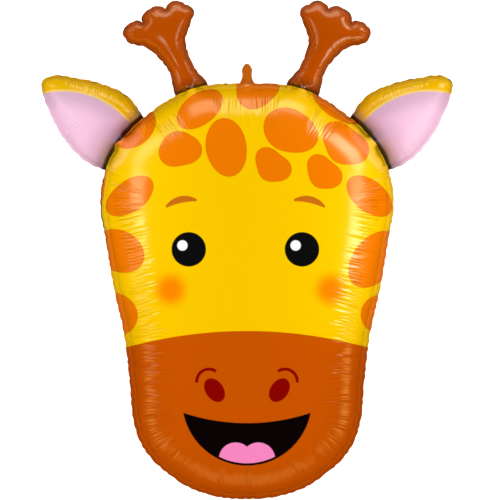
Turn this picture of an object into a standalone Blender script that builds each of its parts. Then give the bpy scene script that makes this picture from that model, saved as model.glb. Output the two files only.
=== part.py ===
"""A foil balloon in the shape of a giraffe's head, filled and lying on its back.

Two sheets of foil are cut to one outline and welded together round its edge. Short welds across the roots
of the horns and ears pinch those off from the head, and each leaves a gap for the gas. The sealed envelope is
one solid. It is modelled face up: +X is to the viewer's right, +Y towards the horns and +Z out of the face.
The right half of the front sheet is computed, and mirrors make the left half and the back sheet.
"""

import math

import bmesh
import bpy
import numpy as np
from mathutils import Vector
from mathutils.geometry import delaunay_2d_cdt

# Driving sizes, in metres and degrees.
HEAD_WIDTH = 0.441
HEAD_HEIGHT = 0.624
HEAD_DEPTH = 0.280
EAR_LENGTH = 0.156
EAR_WIDTH = 0.117
EAR_ANGLE = 36.0
HORN_HEIGHT = 0.135
HORN_SPREAD = 0.135
TAB_WIDTH = 0.0145
TAB_LENGTH = 0.030
TAB_FILLET = 0.006
HEM_WIDTH = 0.0045
HEM_THICKNESS = 0.0002
ROOT_WELD_WIDTH = 0.004
EAR_GAS_GAP = 0.020
HORN_GAS_GAP = 0.016
FLAT_SPOT_DEPTH = 0.0035

# Where the limbs grow from, as shares of the head's half width and of its height above the chin.
EAR_ROOT = (0.833, 0.855)
HORN_ROOT = (0.371, 0.983)

# How much fuller than an ellipsoid the foil stands at its rim, which leaves its crown flatter.
RIM_FULLNESS = 0.18
CROWN_POWER = 4

# Fineness of the facets, in metres. The limbs are smaller than the head and take a finer mesh.
HEAD_RIM_STEP = 0.012
LIMB_RIM_STEP = 0.007
HEAD_CROWN_STEP = 0.026
LIMB_CROWN_STEP = 0.015
GAS_GAP_STEP = 0.0045
RING_INSETS = (0.0, 0.003, 0.010, 0.023)
ARC_STEPS = 16
CURVE_STEPS = 8
SAME_POINT = 1e-6

# The right half of the head from its top to its chin: shares of the half width and of the height.
HEAD_SIDE = [
    (0.0, 1.0),
    (0.272, 0.996),
    (0.483, 0.971),
    (0.680, 0.925),
    (0.857, 0.865),
    (0.963, 0.793),
    (1.0, 0.714),
    (0.963, 0.623),
    (0.908, 0.507),
    (0.837, 0.392),
    (0.799, 0.276),
    (0.769, 0.180),
    (0.697, 0.118),
    (0.534, 0.060),
    (0.327, 0.018),
    (0.0, 0.0),
]

# The right ear from its root: shares of its length outwards and of its width across.
EAR_OUTLINE = [
    (-0.20, 0.30),
    (0.0, 0.42),
    (0.25, 0.52),
    (0.50, 0.46),
    (0.75, 0.32),
    (0.97, 0.13),
    (0.99, 0.0),
    (0.93, -0.09),
    (0.74, -0.26),
    (0.50, -0.41),
    (0.20, -0.48),
    (0.0, -0.42),
    (-0.20, -0.30),
]

# The right horn from its root: shares of its spread outwards and of its height. Its tip is a row of lobes
# between notches.
HORN_OUTER_SIDE = [(0.12, -0.12), (0.183, -0.067), (0.261, 0.20), (0.356, 0.333), (0.506, 0.467), (0.717, 0.533)]
HORN_NOTCHES = [(0.767, 0.60), (0.561, 0.762), (0.30, 0.911), (0.083, 0.955), (-0.006, 0.811)]
HORN_INNER_SIDE = [(0.028, 0.711), (0.072, 0.567), (0.033, 0.389), (-0.044, 0.233), (-0.161, 0.089), (-0.20, -0.12)]
LOBE_BULGE = 0.30
LOBE_STEPS = 8


def smooth_curve(points, closed):
    """A smooth line through the points, as a Bezier curve with automatic handles draws it."""
    data = bpy.data.curves.new("outline_guide", "CURVE")
    data.dimensions = "3D"
    data.resolution_u = CURVE_STEPS
    spline = data.splines.new("BEZIER")
    spline.use_cyclic_u = closed
    spline.bezier_points.add(len(points) - 1)
    for knot, (x, y) in zip(spline.bezier_points, points):
        knot.co = (x, y, 0.0)
        knot.handle_left_type = knot.handle_right_type = "AUTO"
    guide = bpy.data.objects.new("outline_guide", data)
    bpy.context.scene.collection.objects.link(guide)
    graph = bpy.context.evaluated_depsgraph_get()
    mesh = bpy.data.meshes.new_from_object(guide.evaluated_get(graph))
    line = np.array([vertex.co[:2] for vertex in mesh.vertices], float)
    bpy.data.objects.remove(guide)
    bpy.data.curves.remove(data)
    bpy.data.meshes.remove(mesh)
    return line


def head_outline():
    """The whole head, closed, with its chin at y = 0."""
    right = [(x * HEAD_WIDTH / 2, y * HEAD_HEIGHT) for x, y in HEAD_SIDE]
    left = [(-x, y) for x, y in right[-2:0:-1]]
    return smooth_curve(right + left, closed=True)


def root_point(root):
    """The point of the head that a limb's root names."""
    return np.array([root[0] * HEAD_WIDTH / 2, root[1] * HEAD_HEIGHT])


def ear_outline():
    """The right ear, closed, where it grows from the head."""
    outwards = np.array([math.cos(math.radians(EAR_ANGLE)), math.sin(math.radians(EAR_ANGLE))])
    across = np.array([-outwards[1], outwards[0]])
    knots = [root_point(EAR_ROOT) + s * EAR_LENGTH * outwards + t * EAR_WIDTH * across for s, t in EAR_OUTLINE]
    return smooth_curve(knots, closed=False)


def lobe(start, end):
    """A round lobe that bulges to the left of the way from one notch to the next, without its last point."""
    chord = end - start
    outwards = np.array([-chord[1], chord[0]])
    turns = [math.pi * step / LOBE_STEPS for step in range(LOBE_STEPS)]
    return [
        start + chord * (1 - math.cos(turn)) / 2 + outwards * LOBE_BULGE * math.sin(turn)
        for turn in turns
    ]


def horn_outline():
    """The right horn, closed: its outer side, the lobes of its tip and its inner side."""

    def placed(shares):
        return [root_point(HORN_ROOT) + np.array([x * HORN_SPREAD, y * HORN_HEIGHT]) for x, y in shares]

    notches = placed(HORN_NOTCHES)
    outer_side = smooth_curve(placed(HORN_OUTER_SIDE) + notches[:1], closed=False)
    inner_side = smooth_curve(notches[-1:] + placed(HORN_INNER_SIDE), closed=False)
    tip = [point for start, end in zip(notches, notches[1:]) for point in reversed(lobe(end, start))]
    return np.array([*outer_side, *tip, *inner_side])


def tab_outline():
    """The hanging tab: round at its end, with a fillet at each side of its foot."""
    half = TAB_WIDTH / 2
    foot = HEAD_HEIGHT
    quarter = [math.pi / 2 * step / LOBE_STEPS for step in range(LOBE_STEPS + 1)]
    end = [(half * math.sin(a), foot + TAB_LENGTH - half + half * math.cos(a)) for a in quarter]
    fillet = [
        (half + TAB_FILLET * (1 - math.cos(a)), foot + TAB_FILLET * (1 - math.sin(a)))
        for a in quarter
    ]
    sunk = [(half + TAB_FILLET, foot - TAB_FILLET)]
    right = end + fillet + sunk
    return np.array(right + [(-x, y) for x, y in right[::-1]])


def inside(points, outline):
    """Whether each point lies in a closed outline, by counting the edges to its right."""
    x, y = points[:, :1], points[:, 1:]
    start, end = outline, np.roll(outline, -1, axis=0)
    crosses = (start[:, 1] > y) != (end[:, 1] > y)
    rise = np.where(start[:, 1] == end[:, 1], 1.0, end[:, 1] - start[:, 1])
    at = start[:, 0] + (y - start[:, 1]) * (end[:, 0] - start[:, 0]) / rise
    return (crosses & (at > x)).sum(axis=1) % 2 == 1


def distance(points, lines):
    """How far each point lies from the nearest of some lines."""
    if not lines:
        return np.full(len(points), np.inf)
    start = np.concatenate([line[:-1] for line in lines])
    run = np.concatenate([line[1:] for line in lines]) - start
    reach = points[:, None, :] - start[None]
    share = np.clip((reach * run).sum(axis=2) / np.maximum((run**2).sum(axis=1), SAME_POINT**2), 0, 1)
    return np.linalg.norm(reach - share[..., None] * run, axis=2).min(axis=1)


def resampled(line, step):
    """The same line with evenly spaced points about a step apart, and its two ends kept."""
    along = np.concatenate([[0], np.cumsum(np.linalg.norm(np.diff(line, axis=0), axis=1))])
    wanted = np.linspace(0, along[-1], max(1, round(along[-1] / step)) + 1)
    return np.stack([np.interp(wanted, along, line[:, axis]) for axis in (0, 1)], axis=1)


def joined_outline(outlines):
    """The right half of the outlines' union, from the top of the axis to its foot."""
    points, loops = [], []
    for outline in outlines:
        loops.append(list(range(len(points), len(points) + len(outline))))
        points.extend(Vector(point) for point in outline)
    corners, _, triangles, *_ = delaunay_2d_cdt(points, [], loops, 1, SAME_POINT)
    sides = {}
    for a, b, c in triangles:
        for side in ((a, b), (b, c), (c, a)):
            key = tuple(sorted(side))
            sides[key] = sides.get(key, 0) + 1
    following = {}
    for (a, b), count in sides.items():
        if count == 1:
            following.setdefault(a, []).append(b)
            following.setdefault(b, []).append(a)
    at = max((i for i in following if abs(corners[i].x) < SAME_POINT), key=lambda i: corners[i].y)
    before, walked = None, [at]
    while before is None or abs(corners[at].x) > SAME_POINT:
        ways = [i for i in following[at] if i != before]
        onwards = max(ways, key=lambda i: corners[i].x) if before is None else ways[0]
        before, at = at, onwards
        walked.append(at)
    return np.array([corners[i][:2] for i in walked])


def split_at_corners(line, sharpest=28.0):
    """The line cut into smooth stretches wherever it turns by more than some degrees."""
    way = np.diff(line, axis=0)
    heading = np.unwrap(np.arctan2(way[:, 1], way[:, 0]))
    corners = np.nonzero(np.abs(np.degrees(np.diff(heading))) > sharpest)[0] + 1
    cuts = [0, *corners, len(line) - 1]
    return [line[a : b + 1] for a, b in zip(cuts, cuts[1:])]


def across_root(head, limb, gas_gap, rim):
    """The head's outline where it crosses a limb: its two welds, and the open gap between them for the gas."""
    middle = len(head) // 2
    side = resampled(head[: middle + 1], GAS_GAP_STEP / CURVE_STEPS)
    crossing = side[inside(side, limb) & (distance(side, [rim]) > HEM_WIDTH / 2)]
    along = np.concatenate([[0], np.cumsum(np.linalg.norm(np.diff(crossing, axis=0), axis=1))])
    from_centre = along - along[-1] / 2
    upper = crossing[from_centre <= -gas_gap / 2]
    gap = crossing[np.abs(from_centre) < gas_gap / 2]
    lower = crossing[from_centre >= gas_gap / 2]
    welds = [resampled(upper, LIMB_RIM_STEP), resampled(lower, LIMB_RIM_STEP)]
    return welds, resampled(gap, GAS_GAP_STEP)


def tab_foot():
    """The line of the head's hem that runs on across the foot of the tab."""
    level = HEAD_HEIGHT - HEM_WIDTH + ROOT_WELD_WIDTH / 2
    return resampled(np.array([(0.0, level), (TAB_WIDTH / 2 + TAB_FILLET, level)]), LIMB_RIM_STEP)


def offset(line, inset):
    """The line moved to the right of its way."""
    way = np.gradient(line, axis=0)
    way /= np.linalg.norm(way, axis=1)[:, None]
    return line + inset * np.stack([way[:, 1], -way[:, 0]], axis=1)


def hexagonal_grid(width, bottom, top, step):
    """Evenly spread points over a rectangle whose left side is the axis."""
    row_height = step * math.sqrt(3) / 2
    rows = int((top - bottom) / row_height)
    columns = int(width / step) + 1
    return np.array(
        [
            (step * (column + (row % 2) / 2), bottom + row * row_height)
            for row in range(1, rows + 1)
            for column in range(columns)
        ]
    )


def spread_points(rim, corners, welds, gaps, head):
    """Where the sheet's inner points go: rows along the rim and the welds, then a grid over each crown."""
    outline = np.vstack([rim, rim[::-1] * (-1, 1)])
    both_rims = [rim, rim * (-1, 1)]
    weld_ends = [end for weld in welds for end in (weld[0], weld[-1])]
    turns = np.arange(ARC_STEPS) * 2 * math.pi / ARC_STEPS
    circle = np.stack([np.cos(turns), np.sin(turns)], axis=1)
    kept = np.empty((0, 2))

    def add(candidates, clear_of_rim, clear_of_welds, apart):
        nonlocal kept
        good = inside(candidates, outline)
        good &= distance(candidates, both_rims) > clear_of_rim
        good &= distance(candidates, welds) > clear_of_welds
        good &= (candidates[:, 0] > apart) | (np.abs(candidates[:, 0]) < SAME_POINT)
        for point in candidates[good]:
            if not len(kept) or np.linalg.norm(kept - point, axis=1).min() > apart:
                kept = np.vstack([kept, point])

    for gap in gaps:
        add(gap, HEM_WIDTH, ROOT_WELD_WIDTH / 2 * 1.2, GAS_GAP_STEP / 2)
    top, chin = rim[0, 1], rim[-1, 1]
    for inset in RING_INSETS:
        from_rim = HEM_WIDTH + inset
        from_weld = ROOT_WELD_WIDTH / 2 + inset
        least = (from_rim * 0.97, from_weld * 0.97, max(HEM_WIDTH, inset) * 0.5)
        add(np.array([(0.0, top - from_rim), (0.0, chin + from_rim)]), *least)
        add(offset(rim, from_rim), *least)
        for weld in welds:
            add(offset(weld, from_weld), *least)
            add(offset(weld, -from_weld), *least)
        for end in weld_ends:
            add(end + from_weld * circle, *least)
        for corner in corners:
            add(corner + from_rim * circle, *least)
    for step, on_limb in ((LIMB_CROWN_STEP, True), (HEAD_CROWN_STEP, False)):
        grid = hexagonal_grid(rim[:, 0].max(), chin, top, step)
        grid = grid[inside(grid, head) != on_limb]
        beyond = RING_INSETS[-1] + step / 2
        add(grid, HEM_WIDTH + beyond, ROOT_WELD_WIDTH / 2 + beyond, step * 0.6)
    return kept


def triangulated(rim, welds, inner):
    """The right half of a flat sheet: its corners and its triangles."""
    points = [Vector(point) for line in (rim, *welds, inner) for point in line]
    edges = []
    first = len(rim)
    for weld in welds:
        edges += [(i, i + 1) for i in range(first, first + len(weld) - 1)]
        first += len(weld)
    rim_loop = list(range(len(rim)))
    corners, _, triangles, *_ = delaunay_2d_cdt(points, edges, [rim_loop], 1, SAME_POINT)
    return np.array([corner[:2] for corner in corners]), np.array(triangles)


def soap_film(corners, triangles, held):
    """The height of a soap film blown up over the sheet, which is nought where the sheet is held."""
    count = len(corners)
    stiffness = np.zeros((count, count))
    load = np.zeros(count)
    for turn in range(3):
        a, b, c = (triangles[:, (turn + i) % 3] for i in range(3))
        to_a, to_b = corners[a] - corners[c], corners[b] - corners[c]
        twice_area = to_a[:, 0] * to_b[:, 1] - to_a[:, 1] * to_b[:, 0]
        pull = (to_a * to_b).sum(axis=1) / np.abs(twice_area) / 2
        np.add.at(stiffness, (a, b), -pull)
        np.add.at(stiffness, (b, a), -pull)
        np.add.at(stiffness, (a, a), pull)
        np.add.at(stiffness, (b, b), pull)
        np.add.at(load, c, np.abs(twice_area) / 6)
    free = ~held
    film = np.zeros(count)
    film[free] = np.linalg.solve(stiffness[np.ix_(free, free)], load[free])
    return np.maximum(film, 0)


def inflated(film):
    """Heights of the filled sheet over the seam, from the soap film's."""
    lift = np.sqrt(film / film.max())
    return HEAD_DEPTH / 2 * ((1 + RIM_FULLNESS) * lift - RIM_FULLNESS * lift**CROWN_POWER)


def welded(points, rim, welds):
    """Which points of the sheet are welded to the other sheet: in the hem, in the tab or in a root weld."""
    touch = HEM_WIDTH * 0.02
    held = distance(points, [rim, rim * (-1, 1)]) < HEM_WIDTH + touch
    held |= distance(points, welds) < ROOT_WELD_WIDTH / 2 + touch
    in_tab = (np.abs(points[:, 0]) < TAB_WIDTH / 2 + TAB_FILLET) & (points[:, 1] > HEAD_HEIGHT - HEM_WIDTH)
    return held | in_tab


def right_front(rim, welds, inner):
    """The right half of the front sheet as a mesh, with the edge of the hem turned down to the seam."""
    corners, triangles = triangulated(rim, welds, inner)
    held = welded(corners, rim, welds)
    heights = HEM_THICKNESS / 2 + inflated(soap_film(corners, triangles, held))
    mesh = bpy.data.meshes.new("foil_balloon")
    mesh.from_pydata([(x, y, z) for (x, y), z in zip(corners, heights)], [], triangles.tolist())
    half = bmesh.new()
    half.from_mesh(mesh)
    hem_edge = [
        edge
        for edge in half.edges
        if edge.is_boundary and max(abs(vertex.co.x) for vertex in edge.verts) > SAME_POINT
    ]
    turned = bmesh.ops.extrude_edge_only(half, edges=hem_edge)["geom"]
    for vertex in turned:
        if isinstance(vertex, bmesh.types.BMVert):
            vertex.co.z = 0.0
    bmesh.ops.recalc_face_normals(half, faces=half.faces)
    if sum(face.normal.z * face.calc_area() for face in half.faces) < 0:
        bmesh.ops.reverse_faces(half, faces=half.faces)
    half.to_mesh(mesh)
    half.free()
    return mesh


def printed_foil():
    """Glossy yellow film, the base colour of the print."""
    material = bpy.data.materials.new("printed_foil")
    material.use_nodes = True
    shader = material.node_tree.nodes["Principled BSDF"]
    shader.inputs["Base Color"].default_value = (1.0, 0.60, 0.0, 1.0)
    shader.inputs["Roughness"].default_value = 0.25
    shader.inputs["Metallic"].default_value = 0.0
    material.diffuse_color = (1.0, 0.60, 0.0, 1.0)
    return material


def collection(name):
    made = bpy.data.collections.new(name)
    bpy.context.scene.collection.children.link(made)
    return made


def floor_cutter(rim):
    """A block below the level that the back of the balloon rests on."""
    width, length = 2 * rim[:, 0].max(), np.ptp(rim[:, 1])
    bpy.ops.mesh.primitive_cube_add(size=1.0)
    cutter = bpy.context.object
    cutter.name = "floor_cutter"
    cutter.scale = (width, length, HEAD_DEPTH)
    cutter.location = (0.0, 0.0, -HEAD_DEPTH / 2)
    cutter.hide_render = True
    cutter.display_type = "WIRE"
    for owner in list(cutter.users_collection):
        owner.objects.unlink(cutter)
    return cutter


def build():
    for old in list(bpy.data.objects):
        bpy.data.objects.remove(old)
    head, ear, horn = head_outline(), ear_outline(), horn_outline()
    limbs = [ear, ear * (-1, 1), horn, horn * (-1, 1)]
    union = joined_outline([head, *limbs, tab_outline()])
    stretches = []
    for part in split_at_corners(union):
        on_head = distance(part[len(part) // 2][None], [head])[0] < HEM_WIDTH
        stretches.append(resampled(part, HEAD_RIM_STEP if on_head else LIMB_RIM_STEP))
    rim = np.vstack([stretches[0], *(part[1:] for part in stretches[1:])])
    corners = [part[0] for part in stretches[1:]]
    ear_welds, ear_gap = across_root(head, ear, EAR_GAS_GAP, union)
    horn_welds, horn_gap = across_root(head, horn, HORN_GAS_GAP, union)
    welds = [*ear_welds, *horn_welds, tab_foot()]
    inner = spread_points(rim, corners, welds, [ear_gap, horn_gap], head)

    balloon = bpy.data.objects.new("foil_balloon", right_front(rim, welds, inner))
    collection("giraffe_foil_balloon").objects.link(balloon)
    balloon.data.materials.append(printed_foil())
    balloon.data.shade_smooth()
    halves = balloon.modifiers.new("other_side_and_back", "MIRROR")
    halves.use_axis = (True, False, True)
    halves.merge_threshold = 1e-5
    middle = (rim[:, 1].max() + rim[:, 1].min()) / 2
    balloon.location = (0.0, -middle, HEAD_DEPTH / 2 - FLAT_SPOT_DEPTH)

    cutter = floor_cutter(rim)
    collection("cutters").objects.link(cutter)
    flat_spot = balloon.modifiers.new("flat_spot", "BOOLEAN")
    flat_spot.operation = "DIFFERENCE"
    flat_spot.solver = "EXACT"
    flat_spot.object = cutter


build()
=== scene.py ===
# %% [markdown]
# # A giraffe's head as a filled foil balloon
#
# A foil balloon is two printed sheets of film, cut to one outline and welded together round the edge.
# The film hardly stretches. When it is filled, the sheets can only bulge by drawing their edge in, so the
# rim is left with more length than it needs and gathers into fine puckers.
#
# The script reads the cut outline from the frame, lays a fine mesh inside it, blows that mesh up like a soap
# film, and then lets Geometry Nodes gather the puckers. The print is worked out in the shader.

# %% Tools and the frame
import math

import bmesh
import bpy
import numpy as np
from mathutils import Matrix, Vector
from mathutils.geometry import delaunay_2d_cdt
from mathutils.kdtree import KDTree


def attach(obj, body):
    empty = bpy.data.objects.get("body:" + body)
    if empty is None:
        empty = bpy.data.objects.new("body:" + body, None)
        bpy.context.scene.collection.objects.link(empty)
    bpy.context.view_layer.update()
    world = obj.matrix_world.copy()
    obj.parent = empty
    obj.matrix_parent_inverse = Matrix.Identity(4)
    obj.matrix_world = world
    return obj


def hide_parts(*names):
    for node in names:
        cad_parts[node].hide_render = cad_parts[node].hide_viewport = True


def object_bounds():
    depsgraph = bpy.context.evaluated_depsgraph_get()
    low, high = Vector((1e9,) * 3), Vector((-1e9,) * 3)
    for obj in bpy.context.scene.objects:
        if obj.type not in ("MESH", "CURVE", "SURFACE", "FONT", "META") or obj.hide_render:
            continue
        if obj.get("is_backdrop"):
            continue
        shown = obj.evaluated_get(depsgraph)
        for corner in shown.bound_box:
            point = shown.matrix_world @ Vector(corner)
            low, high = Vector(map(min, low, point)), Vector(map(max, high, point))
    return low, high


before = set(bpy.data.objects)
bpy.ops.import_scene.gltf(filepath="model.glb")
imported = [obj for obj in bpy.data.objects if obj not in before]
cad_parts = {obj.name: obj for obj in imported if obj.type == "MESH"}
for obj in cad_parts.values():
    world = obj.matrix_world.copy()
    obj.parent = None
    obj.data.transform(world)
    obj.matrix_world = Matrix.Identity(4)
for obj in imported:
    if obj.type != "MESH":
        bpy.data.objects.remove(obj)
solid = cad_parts["foil_balloon"]
cad_low, cad_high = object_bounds()
MM = 0.001
print("the balloon fills", [round(side, 3) for side in cad_high - cad_low], "m")

# %% [markdown]
# ## Reading the cut outline
#
# The frame holds the balloon as one faceted solid of loose triangles. Merged, its two sheets of film meet
# only at the edge of the hem, which stands at one level all the way round. So the outline is the chain of
# edges where triangles of the front sheet meet triangles that aren't part of it.


# %% Walk round the edge of the front sheet
def boundary_loop(faces):
    """The longest closed walk along the edges that only one of the faces uses."""
    used = {(face[turn], face[(turn + 1) % 3]) for face in faces for turn in range(3)}
    following = {start: end for start, end in used if (end, start) not in used}
    loops = []
    while following:
        start, at = following.popitem()
        loop = [start]
        while at != start and at in following:
            loop.append(at)
            at = following.pop(at)
        loops.append(loop)
    return max(loops, key=len)


SAME_POINT = 0.001 * MM
SAME_LEVEL = 0.002 * MM
merged = bmesh.new()
merged.from_mesh(solid.data)
bmesh.ops.remove_doubles(merged, verts=merged.verts, dist=SAME_POINT)
points = np.array([vertex.co for vertex in merged.verts])
triangles = np.array([[vertex.index for vertex in face.verts] for face in merged.faces])
merged.free()

widest = np.argsort(-np.abs(points[:, 0]))[:4]
hem_back, hem_front = points[widest, 2].min(), points[widest, 2].max()
seam_level = (hem_front + hem_back) / 2
is_front = (points[:, 2] > hem_front - SAME_LEVEL)[triangles].all(axis=1)
cut_points = points[boundary_loop(triangles[is_front].tolist())][:, :2]
cut_points = np.roll(cut_points, -int(np.argmin(cut_points[:, 1])), axis=0)
print("the outline has", len(cut_points), "points at", round(seam_level / MM, 1), "mm above the floor")

# %% [markdown]
# ## A smooth cut line
#
# The solid's outline is made of short straight runs. The film was cut with a smooth die, so a cubic curve is
# run through the points. Each point's tangent is that of the arc through it and its neighbours. The inner
# corners, where an ear or a horn leaves the head, have no common tangent and stay sharp.

# %% Curve through the outline's points
SHARP_TURN = 55
RIM_STEP = 1.6 * MM


def directions(loop):
    ahead = np.roll(loop, -1, axis=0) - loop
    length = np.linalg.norm(ahead, axis=1, keepdims=True)
    return ahead / length, length


def turning(loop):
    """The turn at each point in degrees, positive where the outline is convex."""
    new, _ = directions(loop)
    old = np.roll(new, 1, axis=0)
    return np.degrees(np.arctan2(old[:, 0] * new[:, 1] - old[:, 1] * new[:, 0], (old * new).sum(axis=1)))


def mirrored_over(chord, tangent):
    return 2 * (chord * tangent).sum(axis=1, keepdims=True) * chord - tangent


def curve_through(loop, spacing):
    chord, length = directions(loop)
    length_before = np.roll(length, 1, axis=0)
    tangent = chord * length_before + np.roll(chord, 1, axis=0) * length
    tangent /= np.linalg.norm(tangent, axis=1, keepdims=True)
    sharp = turning(loop) < -SHARP_TURN
    sharp_next = np.roll(sharp, -1)
    leaving, arriving = tangent.copy(), np.roll(tangent, -1, axis=0)
    leaving[sharp] = mirrored_over(chord, arriving)[sharp]
    arriving[sharp_next] = mirrored_over(chord, leaving)[sharp_next]
    both = sharp & sharp_next
    leaving[both] = arriving[both] = chord[both]
    curve = []
    for here, there, out, into, span in zip(loop, np.roll(loop, -1, axis=0), leaving, arriving, length):
        count = max(1, round(float(span[0]) / spacing))
        for t in np.arange(count) / count:
            ease = t * t * (3 - 2 * t)
            curve.append(
                here * (1 - ease) + there * ease + span * (out * t * (1 - t) ** 2 - into * t * t * (1 - t))
            )
    return np.array(curve)


rim = curve_through(cut_points, RIM_STEP)
rim_length = directions(rim)[1].sum()
print("the cut line is", round(rim_length, 2), "m long, in", len(rim), "steps")

# %% [markdown]
# ## The edge of the gas
#
# Inside the cut line runs the hem, where the sheets are welded. A second weld closes each ear and each horn
# off from the head along the head's own curve, with one opening in the middle that lets the gas through.
# What is left of the outline is where the sheets part, and its boundary is called the shore here.

# %% The hem, moved in from the cut line
HEM_WIDTH = 4.5 * MM
FAN_STEP = 12
TOO_NEAR = 0.98


def nearest_to(loop):
    """A quick finder of the nearest point of a closed line."""
    tree = KDTree(len(loop))
    for number, (x, y) in enumerate(loop):
        tree.insert((x, y, 0), number)
    tree.balance()
    return tree


def distances(places, tree):
    return np.array([tree.find((x, y, 0))[2] for x, y in places])


def moved_in(loop, inset):
    """The loop moved inward, round the inner corners, without what comes too near another stretch."""
    moved = []
    heading_before = np.roll(directions(loop)[0], 1, axis=0)
    for place, heading, turn in zip(loop, heading_before, turning(loop)):
        stops = np.linspace(0, 1, int(-turn / FAN_STEP) + 2) if turn < -FAN_STEP else [0.5]
        for stop in stops:
            angle = math.atan2(heading[1], heading[0]) + math.radians(turn) * stop + math.pi / 2
            moved.append(place + inset * np.array([math.cos(angle), math.sin(angle)]))
    moved = np.array(moved)
    return moved[distances(moved, nearest_to(loop)) > TOO_NEAR * inset]


hem_line = moved_in(rim, HEM_WIDTH)
print("the hem's inner line has", len(hem_line), "points")

# %% The welds at the roots of the ears and horns
ROOT_WELD_WIDTH = 4 * MM
EAR_OPENING = 20 * MM
HORN_OPENING = 16 * MM
TAB_REACH = 30 * MM
ROOT_STEPS = 301

rim_turns = turning(rim)
corners = [int(number) for number in np.nonzero(rim_turns < -SHARP_TURN)[0]]
right_corners = [number for number in corners if rim[number, 0] > TAB_REACH]
ear_corners = right_corners[0], right_corners[1]
horn_corners = right_corners[2], right_corners[-1]
tab_foot = rim[[number for number in corners if abs(rim[number, 0]) < TAB_REACH]]


def root_line(first, last):
    """The head's own curve carried on from one corner of a root to the other."""
    start, end = rim[first], rim[last]
    span = np.linalg.norm(end - start)
    out = directions(rim)[0][first - 1]
    into = directions(rim)[0][last]
    t = np.linspace(0, 1, ROOT_STEPS)[:, None]
    ease = t * t * (3 - 2 * t)
    return start * (1 - ease) + end * ease + span * (out * t * (1 - t) ** 2 - into * t * t * (1 - t))


def weld_strips(line, opening):
    """The two stretches of weld on a root's line, one on each side of the opening."""
    along = np.concatenate([[0], np.cumsum(np.linalg.norm(np.diff(line, axis=0), axis=1))])
    way = np.gradient(line, axis=0)
    way /= np.linalg.norm(way, axis=1, keepdims=True)
    side = np.column_stack([-way[:, 1], way[:, 0]]) * ROOT_WELD_WIDTH / 2
    strips = []
    for part in (along < (along[-1] - opening) / 2, along > (along[-1] + opening) / 2):
        strips.append(np.concatenate([(line - side)[part], (line + side)[part][::-1]]))
    return strips


def mirrored(loop):
    return loop[::-1] * [-1, 1]


ear_root, horn_root = root_line(*ear_corners), root_line(*horn_corners)
strips = weld_strips(ear_root, EAR_OPENING) + weld_strips(horn_root, HORN_OPENING)
strips += [mirrored(strip) for strip in strips]
tab_side = tab_foot[:, 0].max() + HEM_WIDTH
tab_low, tab_high = tab_foot[:, 1].min() - HEM_WIDTH, rim[:, 1].max()
tab_block = [(-tab_side, tab_low), (tab_side, tab_low), (tab_side, tab_high), (-tab_side, tab_high)]
root_spans = [float(np.linalg.norm(line[-1] - line[0])) for line in (ear_root, horn_root)]
print("root lines", [round(span / MM) for span in root_spans], "mm")

# %% The shore
SHORE_STEP = 1.45 * MM
SHORE_SOFTNESS = 1.8 * MM
SAME_PLACE = 0.01 * MM


def laid_out(loops, free=()):
    """Triangles that fill the loops, with the numbers of the loops that each one lies in."""
    places = [Vector(place) for loop in loops for place in loop] + [Vector(place) for place in free]
    starts = np.cumsum([0] + [len(loop) for loop in loops])
    outlines = [list(range(start, end)) for start, end in zip(starts[:-1], starts[1:])]
    found, _, pieces, origins, _, owners = delaunay_2d_cdt(places, [], outlines, 1, SAME_PLACE)
    return np.array(found), pieces, origins, owners


def even_steps(loop, spacing):
    """A closed line read off at even steps."""
    ring = np.concatenate([loop, loop[:1]])
    along = np.concatenate([[0], np.cumsum(np.linalg.norm(np.diff(ring, axis=0), axis=1))])
    stops = np.linspace(0, along[-1], round(along[-1] / spacing), endpoint=False)
    return np.column_stack([np.interp(stops, along, ring[:, axis]) for axis in range(2)])


def softened(values, reach):
    """Values round a closed line, each blended with its neighbours within about the reach, in steps."""
    width = int(4 * reach)
    weights = np.exp(-0.5 * (np.arange(-width, width + 1) / reach) ** 2)
    weights /= weights.sum()
    shifts = range(-width, width + 1)
    return sum(weight * np.roll(values, shift, axis=0) for weight, shift in zip(weights, shifts))


found, pieces, _, owners = laid_out([hem_line, *strips, tab_block])
gas_faces = [piece for piece, owner in zip(pieces, owners) if owner == [0]]
shore = even_steps(found[boundary_loop(gas_faces)], SHORE_STEP / 2)
shore = even_steps(softened(shore, 2 * SHORE_SOFTNESS / SHORE_STEP), SHORE_STEP)
shore = np.roll(shore, -int(np.argmin(shore[:, 1])), axis=0)
shore_length = directions(shore)[1].sum()
print("the shore is", round(shore_length, 2), "m long, in", len(shore), "steps")

# %% [markdown]
# ## How much room the gas has
#
# Puckers run straight in from the shore, and die out where the sheet is full. How far they can run depends
# on the room: the radius of the largest disc that touches the shore at that point from inside. It is small
# in a horn and large in the head. A disc that touches two points of the shore gives both the same room.


# %% Measure the room along the shore
CLOSE_STEPS = 6
WAY_SOFTNESS = 1.5
MOST_ROOM = 300 * MM


def ways_inward(loop):
    heading = directions(loop)[0] + np.roll(directions(loop)[0], 1, axis=0)
    way = softened(np.column_stack([-heading[:, 1], heading[:, 0]]), WAY_SOFTNESS)
    return way / np.linalg.norm(way, axis=1, keepdims=True)


def room_inside(loop, ways):
    apart = loop[None] - loop[:, None]
    towards = (apart * ways[:, None]).sum(axis=2)
    radius = (apart**2).sum(axis=2) / np.maximum(2 * towards, SAME_POINT)
    steps = np.abs(np.subtract.outer(np.arange(len(loop)), np.arange(len(loop))))
    close = np.minimum(steps, len(loop) - steps) <= CLOSE_STEPS
    radius[close | (towards <= 0)] = MOST_ROOM
    return radius.min(axis=1)


def least_nearby(values, steps):
    return np.min([np.roll(values, shift) for shift in range(-steps, steps + 1)], axis=0)


shore_ways = ways_inward(shore)
shore_room = room_inside(shore, shore_ways)
shore_room = softened(least_nearby(shore_room, CLOSE_STEPS), CLOSE_STEPS / 2)
print("room from", round(shore_room.min() / MM, 1), "to", round(shore_room.max() / MM), "mm")

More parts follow.
